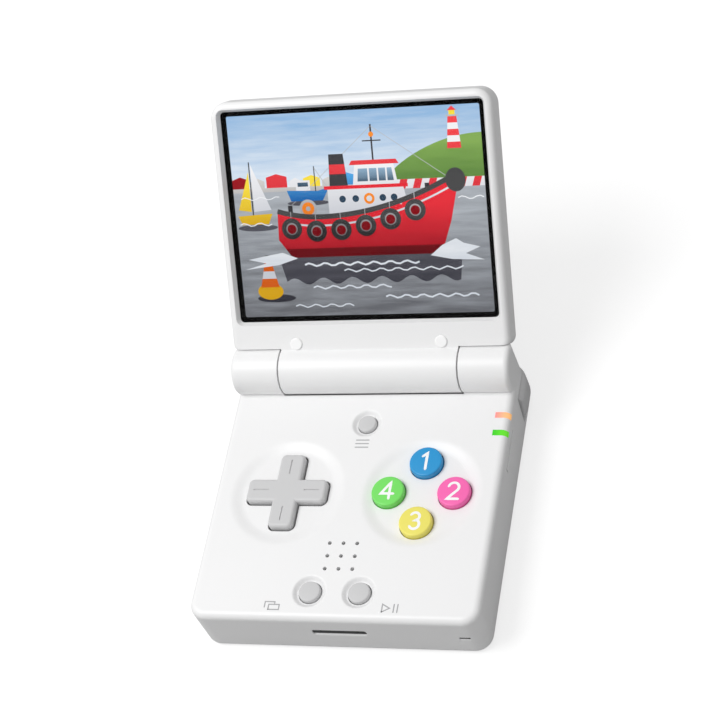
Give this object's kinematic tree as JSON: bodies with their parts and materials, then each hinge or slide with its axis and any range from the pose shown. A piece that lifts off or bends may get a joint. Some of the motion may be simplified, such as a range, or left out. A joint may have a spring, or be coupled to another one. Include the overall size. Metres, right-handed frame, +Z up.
{
  "type": "clamshell handheld game console",
  "caption": "Folding pocket game console with a direction pad, coloured action buttons, shoulder buttons and a hinged screen lid.",
  "frame": {"origin": "middle of the base's flat underside", "axes": "+X to the user's right, +Y from the front wall towards the hinge, +Z up"},
  "size_m": [0.0876, 0.1387, 0.0812],
  "materials": {
    "shell_white": "fine matt moulding",
    "key_grey": "satin moulding",
    "button_blue": "semi-gloss moulding",
    "button_pink": "semi-gloss moulding",
    "button_yellow": "semi-gloss moulding",
    "button_green": "semi-gloss moulding",
    "membrane_rubber": "matt silicone",
    "bumper_rubber": "matt silicone",
    "board_green": "solder mask",
    "screw_steel": "plated",
    "tinned_steel": "tin plated sheet",
    "pin_steel": "ground",
    "battery_foil": "foil pouch",
    "speaker_black": "matt",
    "jack_black": "matt",
    "switch_black": "matt",
    "card_black": "matt",
    "led_epoxy": "clear epoxy",
    "pipe_green": "lit clear plastic",
    "pipe_amber": "lit clear plastic",
    "pivot_white": "acetal",
    "lens_glass": "polished cover glass",
    "mask_black": "printed ink",
    "panel_black": "display glass",
    "foam_black": "closed foam",
    "flex_amber": "polyimide film"
  },
  "bodies": {
    "base": {"base_top_shell": "shell_white", "base_bottom_shell": "shell_white", "case_screws": "screw_steel", "main_board": "board_green", "board_screws": "screw_steel", "shield_can": "tinned_steel", "battery": "battery_foil", "speaker": "speaker_black", "headphone_jack": "jack_black", "card_socket": "jack_black", "usb_board": "board_green", "usb_c_port": "tinned_steel", "indicator_leds": "led_epoxy", "light_pipe_front": "pipe_green", "light_pipe_rear": "pipe_amber", "pad_membrane": "membrane_rubber", "action_membrane": "membrane_rubber", "menu_membrane": "membrane_rubber", "start_select_membrane": "membrane_rubber", "side_switches": "switch_black", "shoulder_boards": "board_green", "shoulder_switches": "switch_black", "shoulder_pins": "pin_steel", "hinge_cartridge": "pin_steel", "hinge_pin": "pin_steel"},
    "lid": {"lid_bezel": "shell_white", "lid_cover": "shell_white", "lid_screws": "screw_steel", "lid_bumpers": "bumper_rubber", "screen_lens": "lens_glass", "screen_mask": "mask_black", "display_panel": "panel_black", "display_cushion": "foam_black", "display_flex": "flex_amber", "hinge_shaft": "pin_steel"},
    "pad_pivot": {"pad_pivot_ball": "pivot_white"},
    "button_bottom": {"button_bottom": "button_yellow"},
    "button_left": {"button_left": "button_green"},
    "button_right": {"button_right": "button_pink"},
    "button_top": {"button_top": "button_blue"},
    "direction_pad": {"direction_pad": "key_grey"},
    "memory_card": {"memory_card": "card_black"},
    "menu_button": {"menu_button": "key_grey"},
    "power_key": {"power_key": "shell_white"},
    "select_button": {"select_button": "key_grey"},
    "shoulder_left_inner": {"shoulder_left_inner": "key_grey"},
    "shoulder_left_outer": {"shoulder_left_outer": "key_grey"},
    "shoulder_right_inner": {"shoulder_right_inner": "key_grey"},
    "shoulder_right_outer": {"shoulder_right_outer": "key_grey"},
    "start_button": {"start_button": "key_grey"},
    "volume_rocker": {"volume_rocker": "shell_white"}
  },
  "joints": [
    {"name": "lid_hinge", "type": "hinge", "parent": "base", "child": "lid", "pos_m": [0, 0.036, 0.0213], "axis": [1, 0, 0], "range_deg": [-7, 133]},
    {"name": "pad_tilt_front_back", "type": "hinge", "parent": "base", "child": "pad_pivot", "pos_m": [-0.0201, -0.00375, 0.0129], "axis": [1, 0, 0], "range_deg": [-3.5, 3.5], "stiffness_Nm_per_rad": 0.2},
    {"name": "pad_tilt_left_right", "type": "hinge", "parent": "pad_pivot", "child": "direction_pad", "pos_m": [-0.0201, -0.00375, 0.0129], "axis": [0, 1, 0], "range_deg": [-3.5, 3.5], "stiffness_Nm_per_rad": 0.2},
    {"name": "button_top_press", "type": "slide", "parent": "base", "child": "button_top", "axis": [0, 0, -1], "range_m": [0, 0.0009], "stiffness_N_per_m": 600, "springref_m": -0.0005},
    {"name": "button_right_press", "type": "slide", "parent": "base", "child": "button_right", "axis": [0, 0, -1], "range_m": [0, 0.0009], "stiffness_N_per_m": 600, "springref_m": -0.0005},
    {"name": "button_bottom_press", "type": "slide", "parent": "base", "child": "button_bottom", "axis": [0, 0, -1], "range_m": [0, 0.0009], "stiffness_N_per_m": 600, "springref_m": -0.0005},
    {"name": "button_left_press", "type": "slide", "parent": "base", "child": "button_left", "axis": [0, 0, -1], "range_m": [0, 0.0009], "stiffness_N_per_m": 600, "springref_m": -0.0005},
    {"name": "menu_button_press", "type": "slide", "parent": "base", "child": "menu_button", "axis": [0, 0, -1], "range_m": [0, 0.0006], "stiffness_N_per_m": 500, "springref_m": -0.0004},
    {"name": "select_button_press", "type": "slide", "parent": "base", "child": "select_button", "axis": [0, 0, -1], "range_m": [0, 0.0006], "stiffness_N_per_m": 500, "springref_m": -0.0004},
    {"name": "start_button_press", "type": "slide", "parent": "base", "child": "start_button", "axis": [0, 0, -1], "range_m": [0, 0.0006], "stiffness_N_per_m": 500, "springref_m": -0.0004},
    {"name": "power_key_press", "type": "slide", "parent": "base", "child": "power_key", "axis": [1, 0, 0], "range_m": [0, 0.0004], "stiffness_N_per_m": 500, "springref_m": -0.0004},
    {"name": "volume_rocker_tilt", "type": "hinge", "parent": "base", "child": "volume_rocker", "pos_m": [0.0405, 0.01295, 0.0128], "axis": [0, 0, 1], "range_deg": [-2, 2], "stiffness_Nm_per_rad": 0.1},
    {"name": "shoulder_right_outer_press", "type": "hinge", "parent": "base", "child": "shoulder_right_outer", "pos_m": [0.0396, 0.0328, 0.0083], "axis": [0, 0, 1], "range_deg": [0, 2.5], "stiffness_Nm_per_rad": 0.3, "springref_deg": -1.72},
    {"name": "shoulder_left_outer_press", "type": "hinge", "parent": "base", "child": "shoulder_left_outer", "pos_m": [-0.0396, 0.0328, 0.0083], "axis": [0, 0, -1], "range_deg": [0, 2.5], "stiffness_Nm_per_rad": 0.3, "springref_deg": -1.72},
    {"name": "shoulder_right_inner_press", "type": "slide", "parent": "base", "child": "shoulder_right_inner", "axis": [0, -1, 0], "range_m": [0, 0.0006], "stiffness_N_per_m": 500, "springref_m": -0.0004},
    {"name": "shoulder_left_inner_press", "type": "slide", "parent": "base", "child": "shoulder_left_inner", "axis": [0, -1, 0], "range_m": [0, 0.0006], "stiffness_N_per_m": 500, "springref_m": -0.0004},
    {"name": "memory_card_slide", "type": "slide", "parent": "base", "child": "memory_card", "axis": [0, -1, 0], "range_m": [0, 0.012]}
  ]
}
